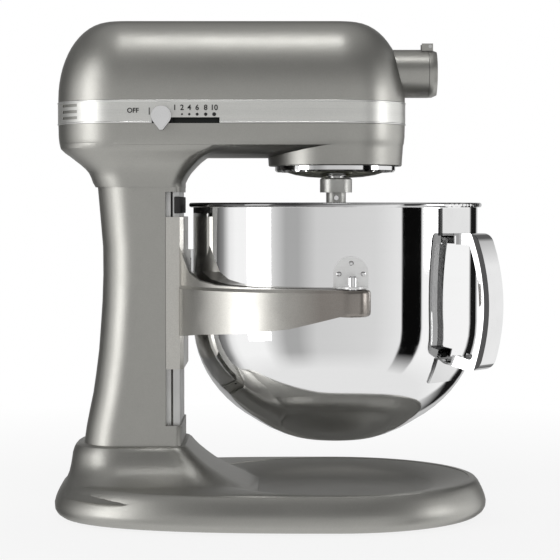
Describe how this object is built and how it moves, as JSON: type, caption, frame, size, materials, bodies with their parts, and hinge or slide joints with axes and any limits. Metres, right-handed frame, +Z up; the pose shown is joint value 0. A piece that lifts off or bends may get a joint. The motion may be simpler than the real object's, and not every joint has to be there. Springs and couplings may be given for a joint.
{
  "type": "stand mixer",
  "caption": "Bowl-lift stand mixer with a domed head, planetary flat beater, attachment hub, steel bowl on a lifting arm support and a dished base.",
  "frame": {"origin": "on the table, in the middle of the machine's footprint", "axes": "+X forward to the attachment hub, +Z up"},
  "size_m": [0.374, 0.286, 0.4195],
  "materials": {
    "paint": "metallic silver-grey paint",
    "band": "satin",
    "steel": "machined",
    "chrome": "polished",
    "satin_steel": "satin",
    "bowl_steel": "mirror-polished stainless steel",
    "satin_metal": "satin",
    "carrier": "satin",
    "beater": "burnished",
    "black_plastic": "matte",
    "scale": "matte",
    "board": "matte",
    "rubber": "matte",
    "bronze": "machined",
    "copper": "lacquered windings"
  },
  "bodies": {
    "machine": {"base_casting": "paint", "rubber_feet": "rubber", "base_bolts": "steel", "column": "paint", "column_screws": "black_plastic", "guide_rail": "steel", "cord_gland": "black_plastic", "gear_housing": "paint", "neck_bolts": "steel", "motor_housing": "paint", "trim_band": "band", "speed_scale_plate": "scale", "control_board": "board", "motor_can": "steel", "motor_bearings": "chrome", "gear_plate": "steel", "idler_bushes": "bronze", "centre_bushes": "bronze", "hub_seat": "steel", "hub_sleeve": "paint", "hub_hinge_pin": "steel", "ring_gear": "steel", "drip_ring": "chrome", "lift_bush": "black_plastic"},
    "speed_control": {"speed_knob": "chrome", "speed_slider": "black_plastic"},
    "rotor": {"armature": "copper", "cooling_fan": "black_plastic", "worm": "steel"},
    "idler": {"worm_wheel": "bronze", "idler_shaft": "steel"},
    "hub_drive": {"hub_drive_shaft": "steel"},
    "hub_door": {"hub_cover": "paint"},
    "attachment_screw": {"attachment_knob": "black_plastic"},
    "planetary": {"planetary_carrier": "carrier", "centre_shaft": "steel", "centre_gear": "steel", "centre_bevel_gear": "steel", "beater_bushes": "bronze"},
    "beater": {"flat_beater": "beater", "beater_shaft": "steel", "planet_pinion": "steel", "beater_spring": "steel", "beater_pin": "chrome"},
    "support": {"bowl_support": "satin_metal", "locating_pins": "chrome", "bowl_latch": "steel"},
    "bowl_set": {"bowl": "bowl_steel", "bowl_brackets": "satin_steel", "bracket_rivets": "chrome", "rear_bowl_pin": "chrome", "bowl_handle": "chrome"},
    "lift_drive": {"lift_shaft": "steel", "lift_lever": "satin_metal", "lift_knob": "black_plastic", "lift_spring": "steel"}
  },
  "joints": [
    {"name": "bowl_lift", "type": "slide", "parent": "machine", "child": "support", "axis": [0, 0, 1], "range_m": [-0.04, 0]},
    {"name": "bowl_off", "type": "slide", "parent": "support", "child": "bowl_set", "axis": [0, 0, 1], "range_m": [0, 0.012]},
    {"name": "lift_lever_turn", "type": "hinge", "parent": "machine", "child": "lift_drive", "pos_m": [-0.11941, 0, 0.2], "axis": [0, 1, 0], "range_deg": [0, 100]},
    {"name": "speed_slide", "type": "slide", "parent": "machine", "child": "speed_control", "axis": [1, 0, 0], "range_m": [0, 0.044]},
    {"name": "planetary_spin", "type": "hinge", "parent": "machine", "child": "planetary", "pos_m": [0.05259, 0, 0.297], "axis": [0, 0, 1], "continuous": true},
    {"name": "beater_spin", "type": "hinge", "parent": "planetary", "child": "beater", "pos_m": [0.05259, -0.0275, 0.28], "axis": [0, 0, 1], "continuous": true},
    {"name": "idler_spin", "type": "hinge", "parent": "machine", "child": "idler", "pos_m": [0.01622, 0.0265, 0.33], "axis": [0, 0, 1], "continuous": true},
    {"name": "rotor_spin", "type": "hinge", "parent": "machine", "child": "rotor", "pos_m": [-0.07241, 0, 0.356], "axis": [1, 0, 0], "continuous": true},
    {"name": "hub_spin", "type": "hinge", "parent": "machine", "child": "hub_drive", "pos_m": [0.08259, 0, 0.376], "axis": [1, 0, 0], "continuous": true},
    {"name": "hub_cover_hinge", "type": "hinge", "parent": "machine", "child": "hub_door", "pos_m": [0.13319, 0, 0.3989], "axis": [0, -1, 0], "range_deg": [0, 110]},
    {"name": "attachment_knob_turn", "type": "hinge", "parent": "machine", "child": "attachment_screw", "pos_m": [0.12059, 0.03, 0.376], "axis": [0, 1, 0], "range_deg": [0, 360]}
  ],
  "couplings": [
    {"joint": "lift_lever_turn", "follows": "bowl_lift", "rad_per_m": -43.633},
    {"joint": "beater_spin", "follows": "planetary_spin", "ratio": -3.2},
    {"joint": "idler_spin", "follows": "planetary_spin", "ratio": -2},
    {"joint": "rotor_spin", "follows": "planetary_spin", "ratio": 16},
    {"joint": "hub_spin", "follows": "planetary_spin", "ratio": 1}
  ]
}
